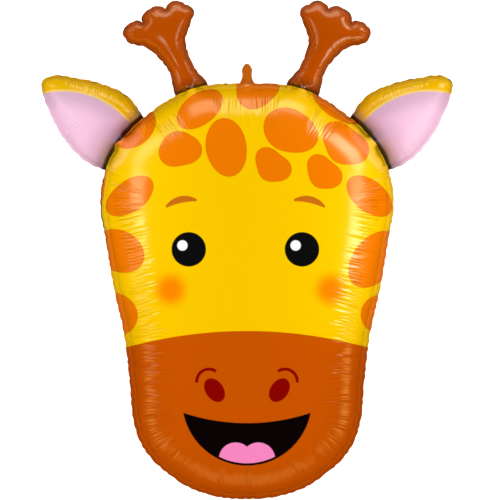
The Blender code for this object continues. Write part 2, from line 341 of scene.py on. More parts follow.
# %% [markdown]
# ## A mesh that follows the shore
#
# Puckers are narrow and long, so the mesh has narrow, long faces there too: rows of quads that run in
# from the shore, close together where the sheet is steep. Inside the last row the sheet is calm, and an even
# grid of points is enough. A constrained Delaunay triangulation fills both the middle and the hem.

# %% Rows of quads along the shore, and points for the middle
ROWS = 16
BAND_REACH = 56 * MM
BAND_SHARE = 0.45
FINE_GRID, WIDE_GRID = 3.6 * MM, 8 * MM
FINE_GRID_REACH = 66 * MM
CLEAR_OF_ROWS = 0.7

band = np.minimum(BAND_REACH, BAND_SHARE * shore_room)
band = softened(least_nearby(band, CLOSE_STEPS), CLOSE_STEPS / 2)
row_depths = [band * (row / ROWS) ** 2 for row in range(ROWS + 1)]
rows = [shore + shore_ways * depth[:, None] for depth in row_depths]


def hexagons(spacing):
    """The points of an even triangular grid over the balloon."""
    line = spacing * math.sqrt(3) / 2
    placed = []
    for number, y in enumerate(np.arange(shore[:, 1].min(), shore[:, 1].max(), line)):
        shift = spacing / 2 if number % 2 else 0
        placed += [(x + shift, y) for x in np.arange(shore[:, 0].min(), shore[:, 0].max(), spacing)]
    return np.array(placed)


shore_tree = nearest_to(shore)


def grid_points(spacing, nearer, further):
    """Grid points that lie past the last row, between two distances from the shore."""
    grid = hexagons(spacing)
    found = [shore_tree.find((x, y, 0)) for x, y in grid]
    near = np.array([index for _, index, _ in found])
    distance = np.array([away for _, _, away in found])
    inside = ((grid - shore[near]) * shore_ways[near]).sum(axis=1) > 0
    least = np.maximum(nearer, band[near] + CLEAR_OF_ROWS * spacing)
    return grid[inside & (distance > least) & (distance <= further)]


middle = np.concatenate(
    [grid_points(FINE_GRID, 0, FINE_GRID_REACH), grid_points(WIDE_GRID, FINE_GRID_REACH, MOST_ROOM)]
)
print(ROWS, "rows of", len(shore), "quads, and", len(middle), "points in the middle")

# %% Join the rows, the middle and the hem into one flat sheet
flat_places = list(np.concatenate(rows))
last_row = ROWS * len(shore)
faces = []
for row in range(ROWS):
    for step in range(len(shore)):
        following = (step + 1) % len(shore)
        low, high = row * len(shore), (row + 1) * len(shore)
        faces.append((low + step, low + following, high + following, high + step))


def stitch(loops, starts, free, keep):
    """Fill the loops with triangles that share the sheet's own points, and add the points that are new."""
    found, pieces, origins, owners = laid_out(loops, free)
    own = [start + step for loop, start in zip(loops, starts) for step in range(len(loop))]
    numbers = {}
    for piece, owner in zip(pieces, owners):
        if owner != keep:
            continue
        for corner in piece:
            if corner in numbers:
                continue
            known = [origin for origin in origins[corner] if origin < len(own)]
            if known:
                numbers[corner] = own[known[0]]
            else:
                numbers[corner] = len(flat_places)
                flat_places.append(found[corner])
        faces.append(tuple(numbers[corner] for corner in piece))


stitch([rows[-1]], [last_row], middle, [0])
rim_start = len(flat_places)
flat_places += list(rim)
stitch([rim, shore], [rim_start, 0], [], [0])
flat = np.array(flat_places)
stray = len(flat) - rim_start - len(rim)
print("one sheet has", len(flat), "points and", len(faces), "faces;", stray, "stray")

# %% [markdown]
# ## Blowing it up like a soap film
#
# A thin skin over an opening, pushed evenly from one side, takes a height whose curvature is the same
# everywhere. That is one large but simple linear system: each point's height is the mean of its neighbours'
# plus a little. Blown hard, a round sheet becomes half a sphere and not a shallow dome, and the square root
# of the height gives that, with the steep shoulders at the rim.

# %% Solve for the film's height
SHOULDER, CROWN_POWER = 0.18, 4
CLOSE_ENOUGH = 1e-5


def film_weights(flat, corners):
    """How strongly each pair of neighbours pulls, and the area that each point carries."""
    pairs, pulls = [], []
    area = np.zeros(len(flat))
    for turn in range(3):
        at, one, other = (corners[:, (turn + shift) % 3] for shift in range(3))
        a, b = flat[one] - flat[at], flat[other] - flat[at]
        cross = a[:, 0] * b[:, 1] - a[:, 1] * b[:, 0]
        pairs.append(np.column_stack([one, other]))
        pulls.append(0.5 * (a * b).sum(axis=1) / cross)
        area += np.bincount(at, cross / 6, len(flat))
    return np.concatenate(pairs), np.concatenate(pulls), area


def film_height(flat, corners, held):
    """Conjugate gradients on the film's equations, with the held points at zero."""
    pairs, pulls, load = film_weights(flat, corners)
    count = len(flat)
    own = np.bincount(pairs[:, 0], pulls, count) + np.bincount(pairs[:, 1], pulls, count)
    own[held | (own <= 0)] = 1

    def pulled(height):
        pull = pulls * (height[pairs[:, 0]] - height[pairs[:, 1]])
        sums = np.bincount(pairs[:, 0], pull, count) - np.bincount(pairs[:, 1], pull, count)
        return np.where(held, 0, sums)

    height = np.zeros(count)
    rest = np.where(held, 0, load)
    step = rest / own
    energy = first = rest @ step
    rounds = 0
    while energy > CLOSE_ENOUGH**2 * first:
        push = pulled(step)
        share = energy / (step @ push)
        height += share * step
        rest -= share * push
        eased = rest / own
        energy, last = rest @ eased, energy
        step = eased + energy / last * step
        rounds += 1
    return height, rounds


gas_sheet = []
for face in faces:
    if max(face) < rim_start:
        gas_sheet.append(face[:3])
        if len(face) == 4:
            gas_sheet.append((face[0], face[2], face[3]))
held = np.zeros(len(flat), dtype=bool)
held[: len(shore)] = True
held[rim_start:] = True
gas_corners = np.array([face for face in gas_sheet if max(face) >= len(shore)])
film, rounds = film_height(flat, gas_corners, held)
fullness = np.sqrt(np.maximum(film, 0) / film.max())
rise = cad_high.z - hem_front
height = rise * ((1 + SHOULDER) * fullness - SHOULDER * fullness**CROWN_POWER)
print("the film took", rounds, "rounds; it stands", round(height.max() / MM), "mm over the hem")

# %% [markdown]
# ## The filled envelope
#
# Both sheets were cut together, so the flat sheet is used twice: once raised, once sunk and turned over, and
# joined by a narrow wall round the cut line. The underside is pressed flat where it lies on the floor.

# %% Raise one sheet, sink the other
PRESSED_SOFTLY = 1.5 * MM


def pressed(level):
    """Levels kept above the floor, with a soft bend where the film meets it."""
    return 0.5 * (level + np.sqrt(level**2 + PRESSED_SOFTLY**2))


front = np.column_stack([flat, hem_front + height])
back = np.column_stack([flat, np.where(height > 0, pressed(hem_back - height), hem_back)])
rim_numbers = list(range(rim_start, rim_start + len(rim)))
envelope_faces = list(faces)
envelope_faces += [tuple(corner + len(flat) for corner in reversed(face)) for face in faces]
for here, there in zip(rim_numbers, rim_numbers[1:] + rim_numbers[:1]):
    envelope_faces.append((there, here, here + len(flat), there + len(flat)))
envelope_mesh = bpy.data.meshes.new("foil_envelope")
envelope_mesh.from_pydata(np.concatenate([front, back]).tolist(), [], envelope_faces)
envelope_mesh.shade_smooth()
triangle_count = sum(len(face) - 2 for face in envelope_faces)
print("the envelope has", triangle_count, "triangles")

# %% [markdown]
# ## What each point knows of the shore
#
# The puckers and the print both ask where a point lies: how far it is from the shore, which point of the
# shore is nearest, how much room there is, and whether it is on an ear or a horn. All of this is stored on
# the mesh as named attributes, so that node trees can read it.


# %% Find each point's place on the shore
def on_shore(places):
    """For each place: how far round the shore its nearest point is, that point, and the distance to it."""
    ring = np.roll(shore, -1, axis=0)
    near = np.array([shore_tree.find((x, y, 0))[1] for x, y in places])
    best = np.full(len(places), np.inf)
    turns, nearest = np.zeros(len(places)), np.zeros((len(places), 2))
    for start in ((near - 1) % len(shore), near):
        run = ring[start] - shore[start]
        share = np.clip(((places - shore[start]) * run).sum(axis=1) / (run**2).sum(axis=1), 0, 1)
        foot = shore[start] + run * share[:, None]
        away = np.linalg.norm(places - foot, axis=1)
        closer = away < best
        best[closer], nearest[closer] = away[closer], foot[closer]
        turns[closer] = ((start + share) / len(shore))[closer]
    return turns, nearest, best


turns, nearest, inward = on_shore(flat)
inward[rim_start:] *= -1
for row in range(ROWS + 1):
    part = slice(row * len(shore), (row + 1) * len(shore))
    turns[part] = np.arange(len(shore)) / len(shore)
    nearest[part], inward[part] = shore, row_depths[row]
near_step = np.floor(turns * len(shore)).astype(int) % len(shore)
room, way_in = shore_room[near_step], shore_ways[near_step]
print("points reach", round(inward.max() / MM), "mm in from the shore")


# %% Tell the ears and horns from the head
def within(places, outline):
    """Whether each place lies inside a closed outline, by counting the sides that a line from it crosses."""
    odd = np.zeros(len(places), dtype=bool)
    for (ax, ay), (bx, by) in zip(outline, np.roll(outline, -1, axis=0)):
        spans = (ay > places[:, 1]) != (by > places[:, 1])
        crossing = ax + (places[:, 1] - ay) * (bx - ax) / (by - ay if by != ay else 1)
        odd ^= spans & (places[:, 0] < crossing)
    return odd


def side_of_root(line, ends):
    """Distance from a root's line, positive on the limb, for the limb on the right and its mirror image."""
    limb = np.concatenate([rim[ends[0] : ends[1]], line[::-1]])
    on_gas = np.where(inward[:, None] < 0, nearest, flat)
    away = distances(np.column_stack([np.abs(flat[:, 0]), flat[:, 1]]), nearest_to(line))
    return np.where(within(np.column_stack([np.abs(on_gas[:, 0]), on_gas[:, 1]]), limb), away, -away)


ear_side, horn_side = side_of_root(ear_root, ear_corners), side_of_root(horn_root, horn_corners)
from_edge = distances(flat, nearest_to(rim))
print((ear_side > 0).sum(), "points on the ears,", (horn_side > 0).sum(), "on the horns")


# %% Store it all on the mesh
def store(name, values, kind="FLOAT"):
    """Keep one value for each point of the flat sheet on the points of both sheets."""
    both = np.concatenate([values, values])
    key = "value" if kind == "FLOAT" else "vector"
    envelope_mesh.attributes.new(name, kind, "POINT").data.foreach_set(key, both.astype(np.float32).ravel())


def flat_vector(places):
    return np.column_stack([places, np.zeros(len(places))])


store("turns", turns)
store("inward", inward)
store("room", room)
store("shore_place", flat_vector(nearest), "FLOAT_VECTOR")
store("way_in", flat_vector(way_in), "FLOAT_VECTOR")
store("ear_side", ear_side)
store("horn_side", horn_side)
store("from_edge", from_edge)
sheet = envelope_mesh.attributes.new("sheet", "FLOAT", "POINT")
sheet.data.foreach_set("value", np.repeat([1.0, -1.0], len(flat)).astype(np.float32))
stored_names = [attribute.name for attribute in envelope_mesh.attributes]
print("stored", [name for name in stored_names if not name.startswith(".")])

# %% [markdown]
# ## Writing node trees as sums
#
# Both the puckers and the print are rules made of many small sums. A tree of single maths nodes is hard to
# read in a script, so a small class stands for a value in a tree. Adding or multiplying two such values
# makes the node that does it. The same class serves geometry trees and shader trees.


# %% A value in a node tree
class Field:
    def __init__(self, tree, socket):
        self.tree = tree
        self.socket = socket

    def math(self, operation, *others):
        node = self.tree.nodes.new("ShaderNodeMath")
        node.operation = operation
        for socket, value in zip(node.inputs, (self, *others)):
            plug(self.tree, socket, value)
        return Field(self.tree, node.outputs[0])

    def __add__(self, other):
        return self.math("ADD", other)

    def __radd__(self, other):
        return self + other

    def __sub__(self, other):
        return self.math("SUBTRACT", other)

    def __rsub__(self, other):
        return constant(self.tree, other) - self

    def __mul__(self, other):
        return self.math("MULTIPLY", other)

    def __rmul__(self, other):
        return self * other

    def __truediv__(self, other):
        return self.math("DIVIDE", other)

    def clamped(self, low=0.0, high=1.0):
        return self.math("MAXIMUM", low).math("MINIMUM", high)

    def eased(self, start, end):
        """Nought up to the start, one from the end, with a smooth rise between them."""
        node = self.tree.nodes.new("ShaderNodeMapRange")
        node.interpolation_type = "SMOOTHSTEP"
        for socket, value in zip(node.inputs, (self, start, end, 0.0, 1.0)):
            plug(self.tree, socket, value)
        return Field(self.tree, node.outputs[0])


def plug(tree, socket, value):
    if isinstance(value, Field):
        tree.links.new(value.socket, socket)
    else:
        socket.default_value = value


def constant(tree, number):
    node = tree.nodes.new("ShaderNodeMath")
    node.operation = "ADD"
    node.inputs[0].default_value = number
    node.inputs[1].default_value = 0
    return Field(tree, node.outputs[0])


def vector_math(tree, operation, first, second):
    node = tree.nodes.new("ShaderNodeVectorMath")
    node.operation = operation
    scaled = operation == "SCALE"
    plug(tree, node.inputs[0], first)
    plug(tree, node.inputs["Scale"] if scaled else node.inputs[1], second)
    return Field(tree, node.outputs[0])


def noise(tree, place, size, detail=1.0, shift=0.0):
    """Noise of about -1 to 1 whose lumps are about the size across; the shift picks another pattern."""
    node = tree.nodes.new("ShaderNodeTexNoise")
    node.noise_dimensions = "4D"
    plug(tree, node.inputs["Vector"], place)
    plug(tree, node.inputs["W"], shift)
    plug(tree, node.inputs["Scale"], 1 / size)
    node.inputs["Detail"].default_value = detail
    return (Field(tree, node.outputs["Fac"]) - 0.5) * 3.2


print("fields can add, scale, ease and read noise")

# %% [markdown]
# ## Gathering the rim
#
# A pucker is a narrow crease that points straight in from the shore and fades out. Puckers come in families:
# broad ones with fine ones between them. Each family is one rule: a fold that repeats along the shore,
# with a drifting rhythm, a depth and a reach that differ from fold to fold. Geometry Nodes suits this,
# because the same rule moves every point, and its spacing, depth and reach stay adjustable inputs.

# %% The tree that folds the film
puckers = bpy.data.node_groups.new("rim_puckers", "GeometryNodeTree")
puckers.interface.new_socket("Geometry", in_out="OUTPUT", socket_type="NodeSocketGeometry")
puckers.interface.new_socket("Geometry", in_out="INPUT", socket_type="NodeSocketGeometry")
PUCKER_SIZES = {
    "Fine Spacing": 11 * MM,
    "Fine Depth": 1.1 * MM,
    "Fine Reach": 82 * MM,
    "Middle Spacing": 23 * MM,
    "Middle Depth": 1.5 * MM,
    "Middle Reach": 70 * MM,
    "Broad Spacing": 45 * MM,
    "Broad Depth": 1.9 * MM,
    "Broad Reach": 90 * MM,
    "Hem Wave": 0.9 * MM,
    "Hem Scallop": 1.7 * MM,
    "Shore Length": shore_length,
    "Seed": 3.0,
}
for name in PUCKER_SIZES:
    puckers.interface.new_socket(name, in_out="INPUT", socket_type="NodeSocketFloat")
film_socket = puckers.interface.new_socket("Film", in_out="INPUT", socket_type="NodeSocketMaterial")
group_in = puckers.nodes.new("NodeGroupInput")
group_out = puckers.nodes.new("NodeGroupOutput")


def size(name):
    return Field(puckers, group_in.outputs[name])


def stored(name, kind="FLOAT"):
    node = puckers.nodes.new("GeometryNodeInputNamedAttribute")
    node.data_type = kind
    node.inputs["Name"].default_value = name
    return Field(puckers, node.outputs["Attribute"])


print("the tree has", len(PUCKER_SIZES), "named sizes")


# %% One family of folds
DRIFT_LUMP, SWAY_LUMP, STRENGTH_LUMP, LENGTH_LUMP = 22 * MM, 30 * MM, 16 * MM, 9 * MM
WELD_STIFFNESS = 4 * MM
FULL_ROOM = 100 * MM


def folds(tree, read, place, count, reach, own_pattern, least=0.08):
    """How deep one family's creases are at each point: nought on the ridges, one in the deepest creases."""
    inward, room = read("inward"), read("room")
    drift = noise(tree, place, DRIFT_LUMP, shift=own_pattern) * 0.9
    sway = noise(tree, place, SWAY_LUMP, shift=own_pattern + 7) * inward / reach * 0.8
    phase = read("turns") * count + drift + sway
    crease = 1 - (phase * math.pi).math("SINE").math("ABSOLUTE")
    strength = (0.62 + 0.5 * noise(tree, place, STRENGTH_LUMP, shift=own_pattern + 13)).clamped(least, 1.25)
    length = (0.7 + 0.4 * noise(tree, place, LENGTH_LUMP, shift=own_pattern + 21)).clamped(0.3, 1.0)
    limit = (length * reach).math("MINIMUM", room * 0.85)
    fade = 1 - inward.eased(limit * 0.35, limit)
    start = inward.eased(0.0, WELD_STIFFNESS) * (0.5 + 0.5 * inward.eased(room * 0.03, room * 0.2))
    return crease * strength * fade * start


shore_place = stored("shore_place", "FLOAT_VECTOR")
seed = size("Seed") + stored("sheet") * 5
crowding = (stored("room") / FULL_ROOM).clamped(0.3, 1.0)
inset = 0.0
for order, family in enumerate(("Fine", "Middle", "Broad")):
    number = (size("Shore Length") / size(f"{family} Spacing")).math("ROUND")
    creases = folds(puckers, stored, shore_place, number, size(f"{family} Reach"), seed + order * 31)
    inset = inset + creases * size(f"{family} Depth")
print("three families of folds")

# %% The hem's own waves, and the offset of every point
SCALLOP_SPACING = 16 * MM
beyond = (stored("inward") * -1 / HEM_WIDTH).clamped(0.0, 1.0)
near_shore = 1 - stored("inward").math("ABSOLUTE").eased(2 * MM, 9 * MM)
hem_seed = size("Seed") + 40
short_wave = noise(puckers, shore_place, 10 * MM, shift=hem_seed)
wave = short_wave + noise(puckers, shore_place, 24 * MM, shift=hem_seed + 5)
wave_height = wave * (0.25 + 0.75 * beyond) * near_shore * size("Hem Wave")
scallop_count = (size("Shore Length") / SCALLOP_SPACING).math("ROUND")
scallop_drift = noise(puckers, shore_place, SWAY_LUMP, shift=hem_seed + 11) * 0.8
scallop_bow = ((stored("turns") * scallop_count + scallop_drift) * math.pi).math("SINE").math("ABSOLUTE")
scallop = (1 - scallop_bow) * (0.4 + 0.6 * beyond) * near_shore * size("Hem Scallop")
shore_axes = puckers.nodes.new("ShaderNodeSeparateXYZ")
plug(puckers, shore_axes.inputs[0], shore_place)
beside_tab = Field(puckers, shore_axes.outputs["X"]).math("ABSOLUTE").eased(12 * MM, 18 * MM)
below_tab = 1 - Field(puckers, shore_axes.outputs["Y"]).eased(240 * MM, 246 * MM)
scallop = scallop * beside_tab.math("MAXIMUM", below_tab)

normal = Field(puckers, puckers.nodes.new("GeometryNodeInputNormal").outputs[0])
upward = puckers.nodes.new("ShaderNodeCombineXYZ")
plug(puckers, upward.inputs["Z"], wave_height)
sunk = vector_math(puckers, "SCALE", normal, inset * crowding * -1)
drawn_in = vector_math(puckers, "SCALE", stored("way_in", "FLOAT_VECTOR"), scallop)
offset = vector_math(puckers, "ADD", sunk, Field(puckers, upward.outputs[0]))
offset = vector_math(puckers, "ADD", offset, drawn_in)
shift_points = puckers.nodes.new("GeometryNodeSetPosition")
realize = puckers.nodes.new("GeometryNodeRealizeInstances")
set_film = puckers.nodes.new("GeometryNodeSetMaterial")
plug(puckers, shift_points.inputs["Offset"], offset)
plug(puckers, shift_points.inputs["Geometry"], Field(puckers, group_in.outputs["Geometry"]))
plug(puckers, realize.inputs[0], Field(puckers, shift_points.outputs[0]))
plug(puckers, set_film.inputs["Geometry"], Field(puckers, realize.outputs[0]))
plug(puckers, set_film.inputs["Material"], Field(puckers, group_in.outputs["Film"]))
plug(puckers, group_out.inputs[0], Field(puckers, set_film.outputs[0]))
print("the tree has", len(puckers.nodes), "nodes")

# %% [markdown]
# ## Inks on a white film
#
# The print is flat areas of ink with clean edges, so each motif is a shape with a signed distance: negative
# inside, positive outside, in millimetres. A narrow ramp over nought gives the edge. Sums of such shapes
# make crescents and rings. They are measured in Object coordinates, so the print stays on the film when it
# folds. The face is nearer to the camera than the seam is, and the print's scale makes up for that.

# %% The film's shader and its helpers
film = bpy.data.materials.new("printed_film")
film.use_nodes = True
ink_tree = film.node_tree
shader = ink_tree.nodes["Principled BSDF"]
coordinates = ink_tree.nodes.new("ShaderNodeTexCoord")
parts = ink_tree.nodes.new("ShaderNodeSeparateXYZ")
ink_tree.links.new(coordinates.outputs["Object"], parts.inputs[0])
IN_MM, PRINT_SCALE = 1000, 0.992
across = Field(ink_tree, parts.outputs["X"]) * (IN_MM / PRINT_SCALE)
upward_mm = Field(ink_tree, parts.outputs["Y"]) * (IN_MM / PRINT_SCALE)
EYES_CENTRE, LIMBS_CENTRE = -2.4, -1.5
eyes_across = (across - EYES_CENTRE).math("ABSOLUTE")
limbs_across = (across - LIMBS_CENTRE).math("ABSOLUTE")
nose_across = across.math("ABSOLUTE")


def painted(name, kind="Fac"):
    node = ink_tree.nodes.new("ShaderNodeAttribute")
    node.attribute_name = name
    return Field(ink_tree, node.outputs[kind])


def linear(part):
    return part / 12.92 if part <= 0.04045 else ((part + 0.055) / 1.055) ** 2.4


def colour(red, green, blue):
    """A colour by its usual 0 to 255 values, as the linear light that a shader needs."""
    return tuple(linear(value / 255) for value in (red, green, blue)) + (1.0,)


def oval(x, y, half_long, half_short=None, tilt=0.0, measured=across):
    """Signed distance to an oval; measured from a centre line, to the oval and its mirror image."""
    half_short = half_short or half_long
    dx, dy = measured - x, upward_mm - y
    turn = math.radians(tilt)
    along = (dx * math.cos(turn) + dy * math.sin(turn)) / half_long
    beside = (dy * math.cos(turn) - dx * math.sin(turn)) / half_short
    return ((along * along + beside * beside).math("SQRT") - 1) * min(half_long, half_short)


def disc_through(first, middle, last):
    """Signed distance to the disc whose edge passes through three points, and to its mirror image."""
    a, b, c = (Vector(point) for point in (first, middle, last))
    turned = 2 * ((b - a).x * (c - a).y - (b - a).y * (c - a).x)
    far_b, far_c = (b - a).length_squared, (c - a).length_squared
    centre_x = a.x + ((c - a).y * far_b - (b - a).y * far_c) / turned
    centre_y = a.y + ((b - a).x * far_c - (c - a).x * far_b) / turned
    return oval(centre_x, centre_y, (Vector((centre_x, centre_y)) - a).length, measured=eyes_across)


def both(first, second):
    return first.math("MAXIMUM", second)


def either(first, second):
    return first.math("MINIMUM", second)


def outside(shape):
    return shape * -1


def filled(shape, softness=0.9):
    return (0.5 - shape / softness).clamped()


def blend(under, over, mask, mode="MIX"):
    node = ink_tree.nodes.new("ShaderNodeMix")
    node.data_type = "RGBA"
    node.blend_type = mode
    for socket, value in zip((node.inputs[0], node.inputs[6], node.inputs[7]), (mask, under, over)):
        plug(ink_tree, socket, value)
    return Field(ink_tree, node.outputs[2])


print("shapes can be ovals, their overlaps and their outsides")

# %% [markdown]
# ### The coat
#
# A giraffe's coat is yellow with orange patches, each with a thin darker line round it. Ovals would look
# too regular, so a patch is an oval whose radius can also swell at three corners. The list gives each
# centre, radius, stretch and tilt, corners and their tilt, in millimetres and degrees.

# %% Spots
YELLOW, SPOT, SPOT_LINE = colour(255, 203, 0), colour(243, 124, 0), colour(222, 104, 0)
SPOT_LINE_WIDTH = 1.4
SPOTS = [
    ("left of the ear", -169.5, 183, 29, 0.18, 40, 0, 0),
    ("left edge", -225, 103, 14, 0.5, 85, 0, 0),
    ("left temple", -176, 81, 28.4, 0.27, 35, 0.02, -38),
    ("left cheekbone", -193, -1.5, 34.3, 0.14, -25, 0, 0),
    ("left jaw", -206, -98.5, 37, 0.1, 0, 0, 0),
    ("brow left", -101, 151, 28.4, 0.11, 6, 0.06, -15),
    ("crown left", -71, 212, 28.4, 0.25, 38, 0, 0),
    ("forehead", -31, 154, 35, 0.19, 99, 0.01, -60),
    ("crown", 14, 250, 34.5, 0.08, 90, 0.08, 0),
    ("crown right", 65, 179, 36, 0.14, -23, 0.03, -19),
    ("middle right", 38, 126.5, 24.8, 0.15, -41, 0.085, -5),
    ("right forehead", 115, 116, 24.6, 0.15, -43, 0.08, -6),
    ("crown edge", 137, 217, 23.5, 0.36, -32, 0, 0),
    ("right of the ear", 147, 159, 31.5, 0.18, -39, 0.075, -3),
    ("right temple", 184.5, 81, 28.4, 0.26, -38, 0, 0),
    ("right cheekbone", 192, -14, 37.5, 0.21, 50, 0, 0),
    ("right jaw", 203, -97, 30, 0.04, 0, 0, 0),
]


def patch(x, y, radius, stretch, tilt, corners, corner_tilt):
    """Signed distance to a patch: a disc drawn out to an oval, and then out at three corners."""
    dx, dy = across - x, upward_mm - y
    angle = dy.math("ARCTAN2", dx)
    edge = (1 - 1.9 * stretch * ((angle - math.radians(tilt)) * 2).math("COSINE")).math("POWER", -0.5)
    if corners:
        edge = edge + corners * ((angle - math.radians(corner_tilt)) * 3).math("COSINE")
    return (dx * dx + dy * dy).math("SQRT") - edge * radius


spots = None
for _, *sizes in SPOTS:
    spot = patch(*sizes)
    spots = spot if spots is None else either(spots, spot)
ink = blend(YELLOW, SPOT, filled(spots))
spot_line = filled(spots.math("ABSOLUTE") - SPOT_LINE_WIDTH / 2, 1.2)
ink = blend(ink, SPOT_LINE, spot_line * 0.8)
print(len(SPOTS), "spots")

# %% Eyes, brows and cheeks
BLACK, WHITE, BROW = colour(13, 13, 13), colour(255, 255, 255), colour(205, 110, 20)
CHEEK = colour(255, 128, 0)
is_face = painted("sheet").math("GREATER_THAN", 0.0)
EYE_X, EYE_Y, EYE_RADIUS = 84.8, 1.0, 25.8
GLINT_ASIDE, GLINT_ABOVE, GLINT_RADIUS = -9.5, 5.8, 7.8
LEFT_CHEEK_X, RIGHT_CHEEK_X, CHEEKS_Y = -114.6, 125.4, -59.3
BROW_ENDS, BROW_END_RADIUS = ((117.4, 65.7), (74.8, 75.0)), 2.2
for x in (LEFT_CHEEK_X, RIGHT_CHEEK_X):
    glow = 1 - oval(x, CHEEKS_Y, 1.0).eased(6, 33)
    ink = blend(ink, CHEEK, glow * 0.92 * is_face)
above_brow = disc_through((118.9, 66.8), (92.5, 81.2), (73.0, 76.2))
below_brow = disc_through((116.4, 64.0), (94.5, 70.9), (75.4, 73.0))
brow_middle = (BROW_ENDS[0][0] + BROW_ENDS[1][0]) / 2
between_ends = (eyes_across - brow_middle).math("ABSOLUTE") - (BROW_ENDS[0][0] - brow_middle)
brow = both(both(above_brow, outside(below_brow)), between_ends)
for x, y in BROW_ENDS:
    brow = either(brow, oval(x, y, BROW_END_RADIUS, measured=eyes_across))
ink = blend(ink, BROW, filled(brow) * is_face)
ink = blend(ink, BLACK, filled(oval(EYE_X, EYE_Y, EYE_RADIUS, measured=eyes_across)) * is_face)
for x in (EYES_CENTRE - EYE_X, EYES_CENTRE + EYE_X):
    glint = oval(x + GLINT_ASIDE, EYE_Y + GLINT_ABOVE, GLINT_RADIUS)
    ink = blend(ink, WHITE, filled(glint) * is_face)
print("two eyes, two brows, two cheeks")

# %% Muzzle, nostrils, mouth and tongue
MUZZLE, NOSTRIL, MOUTH = colour(204, 85, 0), colour(139, 5, 0), colour(10, 4, 4)
TONGUE = colour(255, 140, 200)
muzzle = oval(0, -779.7, 658.5)
nostril = oval(48.6, -210, 19.5, 13.5, 55, measured=nose_across)
ARC_X, ARC_Y, ARC_RADIUS, ARC_WIDTH, ARC_END_Y = 56.9, -196.9, 18.4, 4.6, -198.6
ring = oval(ARC_X, ARC_Y, ARC_RADIUS, measured=nose_across).math("ABSOLUTE") - ARC_WIDTH / 2
outer_end = ARC_END_Y - upward_mm
inner_end = (nose_across - ARC_X) * -0.82 - (upward_mm - ARC_Y) * 0.57
nose_arc = both(ring, both(outer_end, inner_end))
JAW_Y, JAW_HALF_WIDTH, JAW_HALF_HEIGHT, LIP = -225, 97.5, 98.9, 3.5
jaw = oval(0, JAW_Y, JAW_HALF_WIDTH, JAW_HALF_HEIGHT)
mouth = both(jaw, outside(oval(0, 48, 307.5)))
inside_lip = oval(0, JAW_Y, JAW_HALF_WIDTH - LIP, JAW_HALF_HEIGHT - LIP)
tongue = both(either(oval(-17, -314, 25.2), oval(17, -314, 25.2)), inside_lip)
ink = blend(ink, MUZZLE, filled(muzzle))
ink = blend(ink, NOSTRIL, filled(nostril) * is_face)
ink = blend(ink, NOSTRIL, filled(nose_arc) * is_face)
ink = blend(ink, MOUTH, filled(mouth) * is_face)
ink = blend(ink, TONGUE, filled(tongue) * is_face)
print("a muzzle with two nostrils, a mouth and a tongue")

# %% [markdown]
# ### Ears, horns and welds
#
# The colours change exactly along the welds at the roots, so these areas come from the distances stored on
# the mesh. Each ear has a yellow band along its upper edge, with a painted highlight along its lower border,
# and is pink below. The pink is darker towards the band, and painted shade darkens it towards the root. The
# film plunges into each root's weld, and painted shade darkens it there, most of all on the limb's side.
# Painted shade darkens the hem towards the cut edge, and short dark ticks lie along the edge of the upper
# half.

# %% Limbs, tab and welds
PINK, PINK_SHADE, HORN = colour(243, 196, 228), colour(200, 160, 188), colour(180, 75, 0)
BAND_YELLOW, BAND_PAINTED_HIGHLIGHT, DARK = colour(240, 184, 0), colour(255, 226, 130), colour(12, 8, 6)
TAB, FOLD_SHADE, HEM_SHADE = colour(180, 90, 2), colour(112, 84, 104), colour(165, 155, 140)
HORN_SHADE, HORN_FOLD_SHADE = colour(110, 44, 2), colour(58, 24, 6)
BAND_HIGHLIGHT_AT, BAND_HIGHLIGHT_WIDTH = 1.5, 2.4
TAB_FOOT_Y = 250
opening = oval(189, 155, 9.5, measured=limbs_across)
ear_mm, horn_mm = painted("ear_side") * IN_MM, painted("horn_side") * IN_MM
is_ear = filled(both(outside(ear_mm), outside(opening)), 0.6)
is_horn = filled(outside(horn_mm), 0.6)
ear_edge = oval(277, 110, 129.5, measured=limbs_across)
# The pink is darker towards the yellow band, and painted shade darkens it towards the root's weld.
near_band = ear_edge.eased(-34, -4) * 0.6
root_painted_shade = (1 - ear_mm.eased(6, 52)) * 0.85
pink = blend(PINK, PINK_SHADE, near_band.math("MAXIMUM", root_painted_shade))
# Painted highlight: a pale line along the lower border of the ear's yellow band.
band_painted_highlight = (ear_edge - BAND_HIGHLIGHT_AT).math("ABSOLUTE") - BAND_HIGHLIGHT_WIDTH / 2
ear_print = blend(BAND_YELLOW, BAND_PAINTED_HIGHLIGHT, filled(band_painted_highlight, 2.0) * 0.8)
ear_print = blend(ear_print, pink, filled(ear_edge) * is_face)
ink = blend(ink, ear_print, is_ear)
ink = blend(ink, HORN, is_horn)
on_tab = both(oval(0, 268, 20, 19), TAB_FOOT_Y - upward_mm)
ink = blend(ink, TAB, filled(on_tab))
# Painted shade: each ear and horn darkens towards its root's weld, to near black just beside the ear's weld.
ROOT_PAINTED_SHADES = [
    (FOLD_SHADE, ear_mm.eased(3, 26), is_ear, 0.7),
    (HORN_SHADE, horn_mm.eased(2, 24), is_horn, 0.7),
    (DARK, ear_mm.eased(2.5, 8), is_ear, 1.2),
    (HORN_FOLD_SHADE, horn_mm.eased(1.5, 6), is_horn, 0.9),
]
for shade, off_root, limb, strength in ROOT_PAINTED_SHADES:
    ink = blend(ink, shade, ((1 - off_root) * limb * strength).clamped())
print("two ears, two horns and a tab")

# %% The hem
TICK_LUMP = 13 * MM
edge_mm = painted("from_edge") * IN_MM
shore_vector = painted("shore_place", "Vector")
off_tab = 1 - filled(on_tab)
is_pink = is_ear * filled(ear_edge) * is_face
